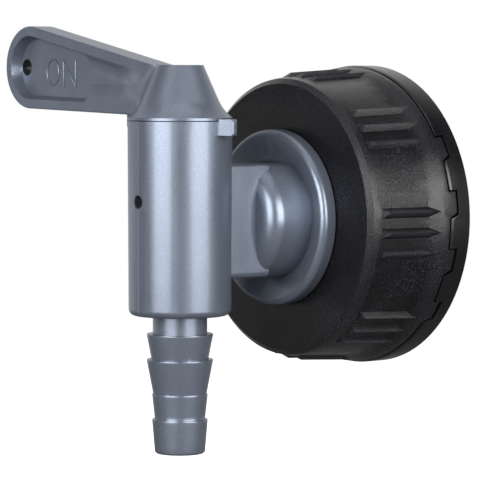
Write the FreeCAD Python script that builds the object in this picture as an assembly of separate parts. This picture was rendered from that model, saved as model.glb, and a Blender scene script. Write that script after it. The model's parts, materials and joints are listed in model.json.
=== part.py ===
import FreeCAD, Part
import math
import os

from FreeCAD import Vector

# Canister tap: a plug valve with a lever on top, a hose tail below, and a screw cap that holds it
# on the canister's neck. Millimetres, +Z up. The pieces are drawn about the point where the upright
# axis of the valve crosses the level axis of the neck, with the canister towards +Y and the lever
# towards -X (open). On export they move so that the row's origin is the centre of the sealing face
# in the cap, on which the canister's neck lands.

# Fits and gaps
running_clearance = 0.05     # plug and its seals in the bore, radial
swivel_clearance = 0.08      # stub in the cap's hole, radial
socket_clearance = 0.05      # a fixed piece in its socket, each side
axial_play = 0.05            # along a turning axis
lever_gap = 0.2              # lever's skirt over the barrel's rim
flange_gap = 0.3             # open line between the flange and the cap
breakaway_gap = 0.35         # line between the cap and its tamper ring
past = 1.0                   # cutters run on past a surface by this much
tolerance = 1e-4             # two lengths closer than this are the same

# Barrel
barrel_radius = 11.73        # at the height of the neck's axis
barrel_draft = 0.1           # rim wider, foot narrower, by this much
barrel_above = 22.6
barrel_below = 21.3
barrel_foot_round = 1.5
barrel_floor = 2.5
bore_radius = 8.6
vent_radius = 1.5
vent_height = 4.6

# Stop lugs on the barrel's rim
front_bearing = -90.0        # degrees round from +X to the front
lug_bearing = 105.0          # degrees round from the front
lug_width = 3.0
lug_stand = 3.8
lug_taper = 7.0              # degrees, each side, so that it leaves the mould
lug_height = 3.6
lug_over = 0.5               # above the rim
lug_bevel = 0.5
lug_root = 1.5               # outside the bore, in the wall
lug_skirt_gap = 0.3          # round the lever's skirt
lug_stop_gap = 0.32          # barrel's side to the lever's stop

# Neck: a spanner block, then a round collar
neck_reach = 29.1            # valve axis to the cap's front face
block_half_width = 8.2
block_top = 12.6
block_bottom = 13.1
block_lower_round = 1.4
block_upper_round = 0.4
collar_radius = 14.0
collar_start = 15.5
collar_round = 3.7

# Flange against the cap
flange_radius = 20.4
flange_web = 1.7             # thickness in the dish, at the collar
flange_rim = 3.6             # thickness at the crest of the rim
flange_edge_round = 1.5

# Waterway and threaded stub
port_radius = 5.5
stub_radius = 13.2
stub_bore_radius = 9.0
port_length = 8.5            # narrow port before it widens to the stub's bore
port_taper = 4.0
stub_past_nut = 2.0
stub_bevel = 1.0

# Screw cap: its radii grow outwards from the root of the canister's thread
cap_bore_radius = 30.3
skirt_front_wall = 2.1
skirt_knuckle_wall = 2.9
skirt_back_wall = 4.4
cap_bevel = 1.2
cap_bevel_depth = 1.1
cap_edge_step = 0.3          # skirt's front outside the bevel
skirt_front = 2.6            # back from the cap's front face, like the lengths below
skirt_length = 21.7
skirt_back_land = 1.4        # straight behind the flare
skirt_flare_length = 3.8
cap_plate = 3.0
tab_count = 4                # tabs on each of two opposite arcs
tab_pitch = 22.0             # degrees
tab_first = 27.5             # degrees up from +X
tab_span = 10.5
tab_length = 2.1
tab_root = 0.5               # overlap with the skirt
tab_slant = 2.6              # degrees taken off the lower side
tab_inset = 1.6              # tab's inner side outside the cap's bore
wedge_reach = 40.0           # cutting wedges run out past the ring

# Grip ridges on the cap
ridge_groups = 8
ridges_in_group = 3
ridge_pitch = 8.1            # degrees
ridge_first = -4.6           # middle of the first group, degrees up from +X
ridge_start = 3.1
ridge_into_flare = 2.9       # past the knuckle, so that the flare cuts each ridge to a point
ridge_half_width = 1.15
ridge_height = 1.0
ridge_hip = 1.7              # slope at the front end
ridge_root = 0.8             # depth below the skirt's surface

# Tamper ring
ring_bore_step = 0.7         # ring's bore outside the cap's bore
ring_wall = 4.1
ring_length = 5.95
ring_edge = 0.6
ring_bead = 0.7              # inner bead that catches under the neck's collar
ring_bead_length = 1.6
bridge_width = 1.1
bridge_depth = 1.2
bridge_inset = 0.5           # inside the ring's wall, and into the ring

# Seals on the cap's side
neck_gasket_thickness = 2.0
neck_gasket_width = 5.2
neck_gasket_gap = 0.1
flange_gasket_room = 1.2     # round the stub
flange_gasket_width = 4.0
flange_gasket_recess = 1.0
washer_thickness = 1.5
washer_width = 5.35
nut_wall = 3.8               # stub to the middle of a flat
nut_sides = 6
nut_thickness = 6.5
nut_bevel = 1.2

# Valve plug
plug_hollow_radius = 5.0
plug_hollow_above = 6.2
plug_port_radius = 5.2
shoulder_above_seal = 3.3    # upper O-ring's middle to the shoulder
drive_size = 8.0             # square drive, across flats
drive_shoulder = 0.34        # neck outside the drive's corners
drive_foot = 1.0             # above the barrel's rim
drive_bevel = 0.5
cord_radius = 0.8            # squeezed section of an O-ring
squeezed_flat = 0.45         # half width of each flat, as a share of that radius
groove_side_gap = 0.1
upper_seal_height = 12.2
lower_seal_above_end = 3.35  # plug's lower end to the lower O-ring's middle
port_seal_inner = 6.15
port_seal_outer = 7.35
port_seal_depth = 1.45
thrust_washer_thickness = 1.0
thrust_washer_hole_gap = 0.1
snap_ring_thickness = 1.75
snap_ring_bite = 1.0         # depth of its groove in the barrel
snap_ring_hole_gap = 0.3
snap_ring_slot = 3.0

# Nozzle with its hose tail
nozzle_head_thickness = 3.8
nozzle_bore_radius = 4.2
nozzle_neck_radius = 6.17
nozzle_neck_length = 4.2
big_lip_radius = 7.5
small_lip_radius = 6.3
big_foot_radius = 6.45
middle_foot_radius = 6.07
small_foot_radius = 5.7
short_barb = 5.8
long_barb = 7.8
lip_land = 0.35
nozzle_end_round = 0.4

# Lever: its heights are above the barrel's rim
hub_skirt_over = 0.02        # skirt outside the barrel's rim
hub_skirt_height = 0.6
hub_top_above = 12.6
hub_top_radius = 5.3
hub_flare_above = 4.8
hub_flare_radius = 8.7
hub_flare_middle = (9.75, 2.9)
hub_core_inner = 7.5
hub_core_outer = 9.4
hub_core_height = 1.6
blade_thickness = 6.4
tip_radius = 9.85
tip_reach = 55.9             # valve axis to the centre of the tip's round
tip_above = 11.95
blade_upper_slope = 10.7     # degrees
blade_lower_slope = 1.3
blade_edge_round = 0.45
rail_width = 2.3
pad_depth = 2.7
pad_wall_slope = 0.8
pad_end = 33.0               # valve axis to the pad's inner end
web_depth = 2.2
web_wall_slope = 2.6
back_panel_depth = 0.6
back_panel_slope = 0.3
hang_hole_radius = 2.0
hang_hole_past_tip = 4.6     # tip's centre to the hole
stop_half_width = 1.6
stop_depth = 5.95
stop_hang = 1.6              # below the barrel's rim
screw_head_radius = 3.0
screw_head_height = 1.6
screw_seat_depth = 2.0       # hub's top to the seat under the head
socket_roof = 2.2            # seat to the top of the drive
screw_head_gap = 0.3
screw_head_round = 0.6
screw_shank_radius = 1.6
screw_hole_room = 0.5        # below the screw's end
screw_length = 9.0
screw_slot_width = 0.8
screw_slot_depth = 0.7

# Worked out from the sizes above
barrel_rim_radius = barrel_radius + barrel_draft
cap_back = neck_reach + skirt_length
cap_inner = neck_reach + cap_plate
seat = cap_inner + neck_gasket_thickness
flange_back = neck_reach - flange_gap
skirt_front_radius = cap_bore_radius + skirt_front_wall
skirt_knuckle_radius = cap_bore_radius + skirt_knuckle_wall
skirt_back_radius = cap_bore_radius + skirt_back_wall
cap_face_radius = skirt_front_radius - cap_edge_step - cap_bevel
skirt_flare_end = skirt_length - skirt_back_land
skirt_knuckle = skirt_flare_end - skirt_flare_length
ridge_end = skirt_knuckle + ridge_into_flare
ring_bore_radius = cap_bore_radius + ring_bore_step
ring_radius = ring_bore_radius + ring_wall
ring_front = cap_back + breakaway_gap
ring_back = ring_front + ring_length
plug_radius = bore_radius - running_clearance
plug_neck_radius = drive_size / math.sqrt(2) + drive_shoulder
nozzle_head_low = barrel_floor - barrel_below
nozzle_head_top = nozzle_head_low + nozzle_head_thickness
nozzle_seal_height = nozzle_head_low + nozzle_head_thickness / 2
plug_bottom = nozzle_head_top + axial_play
groove_floor = plug_radius - 2 * cord_radius
lower_seal_height = plug_bottom + lower_seal_above_end
shoulder_height = upper_seal_height + shoulder_above_seal
snap_ring_low = shoulder_height + thrust_washer_thickness + axial_play
skirt_bottom = barrel_above + lever_gap
hub_skirt_radius = barrel_rim_radius + hub_skirt_over
hub_top = barrel_above + hub_top_above
tip_height = barrel_above + tip_above
screw_seat = hub_top - screw_seat_depth
drive_start = barrel_above + drive_foot
drive_top = screw_seat - socket_roof
stop_inner = barrel_rim_radius + lug_stop_gap
washer_face = cap_inner + axial_play
nut_face = washer_face + washer_thickness
stub_end = nut_face + nut_thickness + stub_past_nut
ORIGIN = Vector(0, 0, 0)
AXES = {"Y": Vector(0, 1, 0), "Z": Vector(0, 0, 1)}


def about(axis):
    """Return the function that puts (radius, distance along the axis) into space."""
    if axis == "Y":
        return lambda u, v: Vector(u, v, 0)
    return lambda u, v: Vector(u, 0, v)


def outline(put, start, steps):
    """Closed wire: a step is an end point, or a (middle, end) pair for an arc."""
    edges = []
    here = start
    for step in steps:
        if isinstance(step[0], tuple):
            middle, end = step
            edges.append(Part.Arc(put(*here), put(*middle), put(*end)).toShape())
        else:
            end = step
            edges.append(Part.LineSegment(put(*here), put(*end)).toShape())
        here = end
    if here != start:
        edges.append(Part.LineSegment(put(*here), put(*start)).toShape())
    return Part.Wire(edges)


def turned(axis, start, *steps):
    """Solid of revolution from a half section."""
    section = Part.Face(outline(about(axis), start, steps))
    return section.revolve(ORIGIN, AXES[axis], 360)


def rod(axis, radius, low, high):
    """Cylinder on an axis through the origin, from low to high."""
    return Part.makeCylinder(radius, high - low, AXES[axis] * low, AXES[axis])


def tube(axis, inner, outer, low, high):
    """Ring or tube on an axis through the origin."""
    return rod(axis, outer, low, high).cut(rod(axis, inner, low, high))


def cone(axis, radius_low, radius_high, low, high):
    """Cone frustum on an axis through the origin."""
    return Part.makeCone(radius_low, radius_high, high - low, AXES[axis] * low, AXES[axis])


def block(x, y, z):
    """Box from three (low, high) pairs."""
    corner = Vector(x[0], y[0], z[0])
    return Part.makeBox(x[1] - x[0], y[1] - y[0], z[1] - z[0], corner)


def spun(shape, axis, degrees):
    """Copy turned about an axis through the origin."""
    copy = shape.copy()
    copy.rotate(ORIGIN, AXES[axis], degrees)
    return copy


def edges_at(shape, test):
    """Edges whose every vertex passes the test."""
    return [edge for edge in shape.Edges if all(test(v.Point) for v in edge.Vertexes)]


def near(a, b):
    """Whether two lengths are the same."""
    return abs(a - b) < tolerance


def round_inset(radius):
    """Distance from the sides of a rounded corner to the middle of its arc."""
    return radius * (1 - math.sqrt(0.5))


def o_ring(height):
    """O-ring drawn as it sits: squeezed flat on the floor of its groove and on the bore."""
    outer = groove_floor + 2 * cord_radius
    flat = cord_radius * squeezed_flat
    return turned(
        "Z",
        (groove_floor, height - flat),
        (groove_floor + cord_radius - flat, height - cord_radius),
        (outer - cord_radius + flat, height - cord_radius),
        (outer, height - flat),
        (outer, height + flat),
        (outer - cord_radius + flat, height + cord_radius),
        (groove_floor + cord_radius - flat, height + cord_radius),
        (groove_floor, height + flat),
    )


def o_ring_groove(height):
    """Cutter for an O-ring's groove, a little wider than the ring."""
    half = cord_radius + groove_side_gap
    return tube("Z", groove_floor, bore_radius + past, height - half, height + half)


def lug():
    """Stop lug: a bevelled block that stands out of the barrel's rim."""
    outer = barrel_rim_radius + lug_stand
    top = barrel_above + lug_over
    half = lug_width / 2
    tip_half = half - lug_stand * math.tan(math.radians(lug_taper))
    side = [(bore_radius + lug_root, half), (barrel_rim_radius, half), (outer, tip_half)]
    corners = side + [(x, -y) for x, y in reversed(side)]
    points = [Vector(x, y, top - lug_height) for x, y in corners + corners[:1]]
    solid = Part.Face(Part.makePolygon(points)).extrude(Vector(0, 0, lug_height))
    solid = solid.makeChamfer(lug_bevel, edges_at(solid, lambda p: near(p.x, outer)))
    clear_of_skirt = rod("Z", hub_skirt_radius + lug_skirt_gap, barrel_above, top + past)
    return solid.cut(clear_of_skirt)


def barrel():
    """Upright tube, slightly tapered, with a rounded foot and the two stop lugs."""
    foot_radius = barrel_radius - barrel_draft
    inset = round_inset(barrel_foot_round)
    solid = turned(
        "Z",
        (0, -barrel_below),
        (foot_radius - barrel_foot_round, -barrel_below),
        ((foot_radius - inset, -barrel_below + inset), (foot_radius, -barrel_below + barrel_foot_round)),
        (barrel_rim_radius, barrel_above),
        (0, barrel_above),
    )
    for bearing in (lug_bearing, -lug_bearing):
        solid = solid.fuse(spun(lug(), "Z", front_bearing + bearing))
    return solid


def spanner_block():
    """Flat-sided part of the neck, with round lower edges."""
    sides = (-block_half_width, block_half_width)
    ends = (0, collar_start + collar_round)
    solid = block(sides, ends, (-block_bottom, block_top))
    for height, round_size in ((-block_bottom, block_lower_round), (block_top, block_upper_round)):
        level = edges_at(solid, lambda p: near(p.z, height))
        long_edges = [edge for edge in level if near(edge.BoundBox.XLength, 0)]
        solid = solid.makeFillet(round_size, long_edges)
    return solid


def collar():
    """Round collar with a rolled front edge and the block's flat carried over its top."""
    inset = round_inset(collar_round)
    solid = turned(
        "Y",
        (0, collar_start),
        (collar_radius - collar_round, collar_start),
        ((collar_radius - inset, collar_start + inset), (collar_radius, collar_start + collar_round)),
        (collar_radius, flange_back),
        (0, flange_back),
    )
    sides = (-collar_radius, collar_radius)
    above = (block_top, collar_radius + past)
    return solid.cut(block(sides, (collar_start - past, flange_back), above))


def flange():
    """Flange dished towards the collar, with a rounded rim."""
    web_front = flange_back - flange_web
    crest = flange_back - flange_rim
    inset = round_inset(flange_edge_round)
    return turned(
        "Y",
        (0, web_front),
        (collar_radius, web_front),
        (flange_radius - flange_edge_round, crest),
        ((flange_radius - inset, crest + inset), (flange_radius, crest + flange_edge_round)),
        (flange_radius, flange_back),
        (0, flange_back),
    )


def stub():
    """Stub through the cap, with a bevelled end; its thread is left plain."""
    bevel_start = stub_end - stub_bevel
    body = rod("Y", stub_radius, flange_back - flange_web, bevel_start)
    return body.fuse(cone("Y", stub_radius, stub_radius - stub_bevel, bevel_start, stub_end))


def waterway():
    """Port into the bore, widening to the bore of the stub."""
    narrow_end = bore_radius + port_length
    wide_start = narrow_end + port_taper
    path = rod("Y", port_radius, 0, narrow_end)
    path = path.fuse(cone("Y", port_radius, stub_bore_radius, narrow_end, wide_start))
    return path.fuse(rod("Y", stub_bore_radius, wide_start, stub_end + past))


def tap_body():
    """Moulded body: barrel, spanner block, collar, flange and stub in one piece."""
    solid = barrel().fuse([spanner_block(), collar(), flange(), stub()])
    solid = solid.cut(rod("Z", bore_radius, nozzle_head_low, barrel_above + past))
    nozzle_hole = nozzle_neck_radius + socket_clearance
    solid = solid.cut(rod("Z", nozzle_hole, -barrel_below - past, nozzle_head_low))
    groove_high = snap_ring_low + snap_ring_thickness + axial_play
    groove_radius = bore_radius + snap_ring_bite
    solid = solid.cut(tube("Z", bore_radius - past, groove_radius, snap_ring_low, groove_high))
    vent_start = Vector(0, 0, vent_height)
    vent = Part.makeCylinder(vent_radius, barrel_radius + past, vent_start, Vector(0, -1, 0))
    return solid.cut(waterway()).cut(vent).removeSplitter()


def hose_barb():
    """Nozzle dropped in from above: its head lies on the barrel's floor, its tail hangs below."""
    first_lip = -barrel_below - nozzle_neck_length
    barbs = (
        (big_lip_radius, big_foot_radius, short_barb),
        (big_lip_radius, middle_foot_radius, long_barb),
        (small_lip_radius, small_foot_radius, short_barb),
        (small_lip_radius, small_foot_radius, long_barb),
    )
    steps = [(plug_radius, nozzle_head_top), (plug_radius, nozzle_head_low)]
    steps.append((nozzle_neck_radius, nozzle_head_low))
    steps.append((nozzle_neck_radius, first_lip))
    lip_height = first_lip
    for lip_radius, foot_radius, length in barbs:
        steps.append((lip_radius, lip_height))
        steps.append((lip_radius, lip_height - lip_land))
        lip_height = lip_height - length
        steps.append((foot_radius, lip_height))
    end = lip_height
    steps[-1] = (small_foot_radius, end + nozzle_end_round)
    steps.append((small_foot_radius - nozzle_end_round, end))
    steps.append((nozzle_bore_radius, end))
    steps.append((nozzle_bore_radius, nozzle_head_low))
    steps.append((plug_hollow_radius, nozzle_head_top))
    solid = turned("Z", (plug_hollow_radius, nozzle_head_top), *steps)
    return solid.cut(o_ring_groove(nozzle_seal_height))


def valve_plug():
    """Turning plug: hollow below, one side port, seal grooves, and a square drive on top."""
    half_drive = drive_size / 2
    solid = rod("Z", plug_radius, plug_bottom, shoulder_height)
    solid = solid.fuse(rod("Z", plug_neck_radius, shoulder_height, drive_start))
    sides = (-half_drive, half_drive)
    drive = block(sides, sides, (drive_start - past, drive_top))
    drive = drive.makeChamfer(drive_bevel, edges_at(drive, lambda p: near(p.z, drive_top)))
    solid = solid.fuse(drive)
    solid = solid.cut(rod("Z", plug_hollow_radius, plug_bottom, plug_hollow_above))
    solid = solid.cut(rod("Y", plug_port_radius, 0, bore_radius))
    for height in (upper_seal_height, lower_seal_height):
        solid = solid.cut(o_ring_groove(height))
    screw_end = screw_seat - screw_length
    solid = solid.cut(rod("Z", screw_shank_radius, screw_end - screw_hole_room, drive_top))
    return solid.cut(port_seal_ring(groove_side_gap / 2))


def port_seal_ring(gap):
    """Ring about the front-to-back axis, between two radii of the plug's round side."""
    ring = tube("Y", port_seal_inner - gap, port_seal_outer + gap, -bore_radius, 0)
    floor = plug_radius - port_seal_depth - gap
    return ring.common(tube("Z", floor, plug_radius, -bore_radius, bore_radius))


def port_seal():
    """Saddle seal let into the plug's closed side; it shuts the port, or the vent when open."""
    return port_seal_ring(0)


def thrust_washer():
    """Slippery washer on the plug's shoulder, under the snap ring."""
    hole = plug_neck_radius + thrust_washer_hole_gap
    return tube("Z", hole, plug_radius, shoulder_height, shoulder_height + thrust_washer_thickness)


def snap_ring():
    """Split ring that springs into the barrel's groove and keeps the plug down."""
    high = snap_ring_low + snap_ring_thickness
    hole = plug_neck_radius + snap_ring_hole_gap
    outer = bore_radius + snap_ring_bite - socket_clearance
    ring = tube("Z", hole, outer, snap_ring_low, high)
    slot = block((0, outer + past), (-snap_ring_slot / 2, snap_ring_slot / 2), (snap_ring_low, high))
    return ring.cut(slot)


def blade_outline(y, inset, root_x):
    """Outline of the lever's blade in a plane of constant y: two tangents and the tip's round."""
    radius = tip_radius - inset
    upper = math.radians(blade_upper_slope)
    lower = math.radians(blade_lower_slope)
    top_x = -tip_reach + radius * math.sin(upper)
    top_z = tip_height + radius * math.cos(upper)
    bottom_x = -tip_reach - radius * math.sin(lower)
    bottom_z = tip_height - radius * math.cos(lower)
    root_top = top_z - (root_x - top_x) * math.tan(upper)
    root_bottom = bottom_z - (root_x - bottom_x) * math.tan(lower)
    return outline(
        lambda x, z: Vector(x, y, z),
        (root_x, root_bottom),
        [
            (bottom_x, bottom_z),
            ((-tip_reach - radius, tip_height), (top_x, top_z)),
            (root_x, root_top),
        ],
    )


def pocket(face_y, floor_y, slope, root_x):
    """Cutter for a panel sunk in the blade, with sloping walls."""
    mouth = blade_outline(face_y, rail_width, root_x)
    floor = blade_outline(floor_y, rail_width + slope, root_x)
    return Part.makeLoft([mouth, floor], True, True)


def blade():
    """Flat blade with a deep panel in front and a shallow one behind."""
    half = blade_thickness / 2
    face = Part.Face(blade_outline(-half, 0, 0))
    solid = face.extrude(Vector(0, blade_thickness, 0))
    rims = [edge for edge in solid.Edges if near(edge.BoundBox.YLength, 0)]
    rims = [edge for edge in rims if edge.BoundBox.XLength > past]
    solid = solid.makeFillet(blade_edge_round, rims)
    solid = solid.cut(pocket(-half, pad_depth - half, pad_wall_slope, -pad_end))
    solid = solid.cut(pocket(-half, web_depth - half, web_wall_slope, 0))
    solid = solid.cut(pocket(half, half - back_panel_depth, back_panel_slope, -pad_end))
    hole_foot = Vector(-tip_reach - hang_hole_past_tip, -half, tip_height)
    return solid.cut(Part.makeCylinder(hang_hole_radius, blade_thickness, hole_foot, AXES["Y"]))


def hub():
    """Trumpet-shaped hub over the barrel."""
    skirt_top = skirt_bottom + hub_skirt_height
    flare_middle = (hub_flare_middle[0], barrel_above + hub_flare_middle[1])
    return turned(
        "Z",
        (0, skirt_bottom),
        (hub_skirt_radius, skirt_bottom),
        (hub_skirt_radius, skirt_top),
        (flare_middle, (hub_flare_radius, barrel_above + hub_flare_above)),
        (hub_top_radius, hub_top),
        (0, hub_top),
    )


def lever_stop():
    """Tab under the blade's root that meets the barrel's lugs."""
    along = (-stop_inner - stop_depth, -stop_inner)
    across = (-stop_half_width, stop_half_width)
    return block(along, across, (barrel_above - stop_hang, tip_height - tip_radius))


def lever_handle():
    """Lever: hub, blade and stop, with the square socket and the screw's seat."""
    half_socket = drive_size / 2 + socket_clearance
    solid = hub().fuse([blade(), lever_stop()])
    solid = solid.cut(rod("Z", plug_neck_radius + socket_clearance, skirt_bottom, drive_start))
    sides = (-half_socket, half_socket)
    solid = solid.cut(block(sides, sides, (drive_start, drive_top + socket_clearance)))
    core_top = skirt_bottom + hub_core_height
    solid = solid.cut(tube("Z", hub_core_inner, hub_core_outer, skirt_bottom, core_top))
    solid = solid.cut(rod("Z", screw_shank_radius + socket_clearance, drive_top, screw_seat))
    solid = solid.cut(rod("Z", screw_head_radius + screw_head_gap, screw_seat, hub_top + past))
    return solid.removeSplitter()


def lever_screw():
    """Slotted pan-head screw down through the hub into the plug; its thread is left plain."""
    head = rod("Z", screw_head_radius, screw_seat, screw_seat + screw_head_height)
    top = screw_seat + screw_head_height
    head = head.makeFillet(screw_head_round, edges_at(head, lambda p: near(p.z, top)))
    half = screw_slot_width / 2
    reach = screw_head_radius + past
    head = head.cut(block((-reach, reach), (-half, half), (top - screw_slot_depth, top + past)))
    return head.fuse(rod("Z", screw_shank_radius, screw_seat - screw_length, screw_seat))


def skirt_radius_at(back):
    """Radius of the cap's skirt at a distance back from the front face, forward of the knuckle."""
    share = (back - skirt_front) / (skirt_knuckle - skirt_front)
    return skirt_front_radius + share * (skirt_knuckle_radius - skirt_front_radius)


def ridge():
    """Grip ridge at +X: a roof-shaped bar, hipped in front, whose back end runs into the flare."""
    def at(across, back, up):
        return Vector(skirt_radius_at(back) + up, neck_reach + back, across)

    half = ridge_half_width
    plan = [(-half, ridge_start), (half, ridge_start), (half, ridge_end), (-half, ridge_end)]
    low = [at(across, back, -ridge_root) for across, back in plan]
    high = [at(across, back, 0) for across, back in plan]
    crest_front = at(0, ridge_start + ridge_hip, ridge_height)
    crest_back = at(0, ridge_end, ridge_height)
    corners = [low, [high[0], high[1], crest_front], [high[2], high[3], crest_back]]
    corners.append([high[1], high[2], crest_back, crest_front])
    corners.append([high[3], high[0], crest_front, crest_back])
    for i in range(len(plan)):
        j = (i + 1) % len(plan)
        corners.append([low[i], low[j], high[j], high[i]])
    faces = [Part.Face(Part.makePolygon(points + [points[0]])) for points in corners]
    return Part.makeSolid(Part.makeShell(faces))


def ridges():
    """All the grip ridges, in groups round the skirt."""
    one = ridge()
    middle = (ridges_in_group - 1) / 2
    copies = []
    for group in range(ridge_groups):
        for i in range(ridges_in_group):
            angle = ridge_first + group * 360 / ridge_groups + (i - middle) * ridge_pitch
            copies.append(spun(one, "Y", -angle))
    return copies


def tab_angles():
    """Middle of each tab, degrees up from +X, on two opposite arcs."""
    angles = []
    for half_turn in (0, 180):
        for i in range(tab_count):
            angles.append(tab_first - i * tab_pitch + half_turn)
    return angles


def tab_sector(gap, front, back):
    """Wedge round +X that a tab fills, or its notch with a gap all round."""
    spread = math.degrees(gap / skirt_back_radius)
    upper = math.radians(tab_span / 2 + spread)
    lower_root = math.radians(-tab_span / 2 - spread)
    lower_tip = math.radians(-tab_span / 2 - spread + tab_slant)

    def at(angle, y):
        return Vector(wedge_reach * math.cos(angle), y, wedge_reach * math.sin(angle))

    sections = []
    for y, lower in ((front, lower_root), (back, lower_tip)):
        corners = [Vector(0, y, 0), at(lower, y), at(upper, y), Vector(0, y, 0)]
        sections.append(Part.makePolygon(corners))
    return Part.makeLoft(sections, True, True)


def flange_gasket_ring(low, high):
    """Ring round the stub that the flange's gasket and its recess share."""
    inner = stub_radius + flange_gasket_room
    return tube("Y", inner, inner + flange_gasket_width, low, high)


def screw_cap():
    """Screw cap: plate, flared skirt with grip ridges, and tabs that key into the tamper ring."""
    hole = stub_radius + swivel_clearance
    solid = turned(
        "Y",
        (hole, neck_reach),
        (cap_face_radius, neck_reach),
        (cap_face_radius + cap_bevel, neck_reach + cap_bevel_depth),
        (skirt_front_radius, neck_reach + skirt_front),
        (skirt_knuckle_radius, neck_reach + skirt_knuckle),
        (skirt_back_radius, neck_reach + skirt_flare_end),
        (skirt_back_radius, cap_back),
        (cap_bore_radius, cap_back),
        (cap_bore_radius, cap_inner),
        (hole, cap_inner),
    )
    solid = solid.cut(flange_gasket_ring(neck_reach, neck_reach + flange_gasket_recess))
    root = cap_back - tab_root
    tab_inner = cap_bore_radius + tab_inset
    tabs = tube("Y", tab_inner, skirt_back_radius, root, cap_back + tab_length)
    sector = tab_sector(0, root, cap_back + tab_length)
    pieces = [tabs.common(spun(sector, "Y", -angle)) for angle in tab_angles()]
    return solid.fuse(pieces + ridges()).removeSplitter()


def tamper_ring():
    """Break-off ring behind the cap, notched for the tabs, with the bridges that hold it."""
    bead_start = ring_back - ring_bead_length
    solid = turned(
        "Y",
        (ring_bore_radius, ring_front),
        (ring_radius - ring_edge / 2, ring_front),
        (ring_radius, ring_front + ring_edge),
        (ring_radius, ring_back - ring_edge),
        (ring_radius - ring_edge, ring_back),
        (ring_bore_radius, ring_back),
        (ring_bore_radius - ring_bead, bead_start + ring_bead),
        (ring_bore_radius, bead_start),
    )
    notch_back = cap_back + tab_length + breakaway_gap
    sector = tab_sector(breakaway_gap, cap_back - tab_root, notch_back)
    ledge = rod("Y", ring_radius + past, cap_back - tab_root, notch_back)
    for angle in tab_angles():
        solid = solid.cut(ledge.common(spun(sector, "Y", -angle)))
    bridge_inner = ring_bore_radius + bridge_inset
    bridge = block(
        (bridge_inner, bridge_inner + bridge_depth),
        (cap_back, ring_front + bridge_inset),
        (-bridge_width / 2, bridge_width / 2),
    )
    bridges = [spun(bridge, "Y", -angle + tab_pitch / 2) for angle in tab_angles()]
    return solid.fuse(bridges).removeSplitter()


def neck_gasket():
    """Flat seal in the cap on which the canister's neck lands."""
    outer = cap_bore_radius - neck_gasket_gap
    return tube("Y", outer - neck_gasket_width, outer, cap_inner, seat)


def flange_gasket():
    """Flat seal in the cap's front face, under the flange."""
    return flange_gasket_ring(flange_back, neck_reach + flange_gasket_recess)


def nut_washer():
    """Seal washer between the lock nut and the inside of the cap."""
    hole = stub_radius + socket_clearance
    return tube("Y", hole, hole + washer_width, washer_face, nut_face)


def lock_nut():
    """Hexagon nut on the stub, bevelled at its outer corners."""
    corner = (stub_radius + nut_wall) / math.cos(math.pi / nut_sides)
    back = nut_face + nut_thickness
    points = []
    for i in range(nut_sides + 1):
        angle = 2 * math.pi * i / nut_sides
        points.append(Vector(corner * math.cos(angle), nut_face, corner * math.sin(angle)))
    hexagon = Part.Face(Part.makePolygon(points)).extrude(Vector(0, nut_thickness, 0))
    rounder = rod("Y", corner, nut_face, back - nut_bevel)
    rounder = rounder.fuse(cone("Y", corner, corner - 2 * nut_bevel, back - nut_bevel, back))
    return hexagon.common(rounder).cut(rod("Y", stub_radius + socket_clearance, nut_face, back))


PIECES = {
    "screw_cap": screw_cap,
    "tamper_ring": tamper_ring,
    "neck_gasket": neck_gasket,
    "flange_gasket": flange_gasket,
    "tap_body": tap_body,
    "nut_washer": nut_washer,
    "lock_nut": lock_nut,
    "hose_barb": hose_barb,
    "nozzle_o_ring": lambda: o_ring(nozzle_seal_height),
    "snap_ring": snap_ring,
    "valve_plug": valve_plug,
    "upper_o_ring": lambda: o_ring(upper_seal_height),
    "lower_o_ring": lambda: o_ring(lower_seal_height),
    "port_seal": port_seal,
    "thrust_washer": thrust_washer,
    "lever_handle": lever_handle,
    "lever_screw": lever_screw,
}

os.makedirs("parts", exist_ok=True)
for name, make in PIECES.items():
    piece = make()
    piece.translate(Vector(0, -seat, 0))
    piece.exportStep("parts/" + name + ".step")
    print(name, piece.ShapeType, len(piece.Solids), piece.isValid(), round(piece.Volume, 1), len(piece.Faces))
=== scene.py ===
import json
import math

import bpy
import numpy as np
from mathutils import Matrix, Vector


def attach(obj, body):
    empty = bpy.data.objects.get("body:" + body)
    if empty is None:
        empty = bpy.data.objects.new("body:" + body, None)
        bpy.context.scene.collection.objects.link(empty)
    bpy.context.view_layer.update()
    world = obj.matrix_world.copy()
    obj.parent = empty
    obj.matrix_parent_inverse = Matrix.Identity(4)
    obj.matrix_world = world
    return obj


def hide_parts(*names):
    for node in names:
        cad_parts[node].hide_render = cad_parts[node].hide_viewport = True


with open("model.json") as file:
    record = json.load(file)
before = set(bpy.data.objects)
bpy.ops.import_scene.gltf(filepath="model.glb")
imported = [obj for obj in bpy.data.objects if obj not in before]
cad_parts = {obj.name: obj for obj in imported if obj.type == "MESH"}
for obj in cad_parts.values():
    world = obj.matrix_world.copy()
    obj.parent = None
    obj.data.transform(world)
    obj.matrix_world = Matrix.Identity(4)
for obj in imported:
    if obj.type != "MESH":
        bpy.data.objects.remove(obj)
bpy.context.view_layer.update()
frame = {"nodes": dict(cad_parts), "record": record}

# Place of the canister tap: metres, +Z up. The canister would be towards +Y, the lever lies towards
# -X, and the origin is the sealing face inside the cap. The camera stands in front and to the right,
# nearly level with the tap.
eye = Vector((0.5177, -0.42545, 0.03541))
to_right = Vector((0.61951, 0.78498, 0.00134))
to_top = Vector((-0.04875, 0.03677, 0.99813))
to_eye = Vector((0.78347, -0.61842, 0.06105))
frame_pixels = 480
focal_pixels = 2876
camera_data = bpy.data.cameras.new("camera")
camera_data.sensor_width = 36
camera_data.lens = focal_pixels / frame_pixels * camera_data.sensor_width
camera_data.clip_start = 0.01
camera_data.clip_end = 20
camera = bpy.data.objects.new("camera", camera_data)
bpy.context.scene.collection.objects.link(camera)
turn = Matrix((to_right, to_top, to_eye)).transposed().to_4x4()
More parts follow.
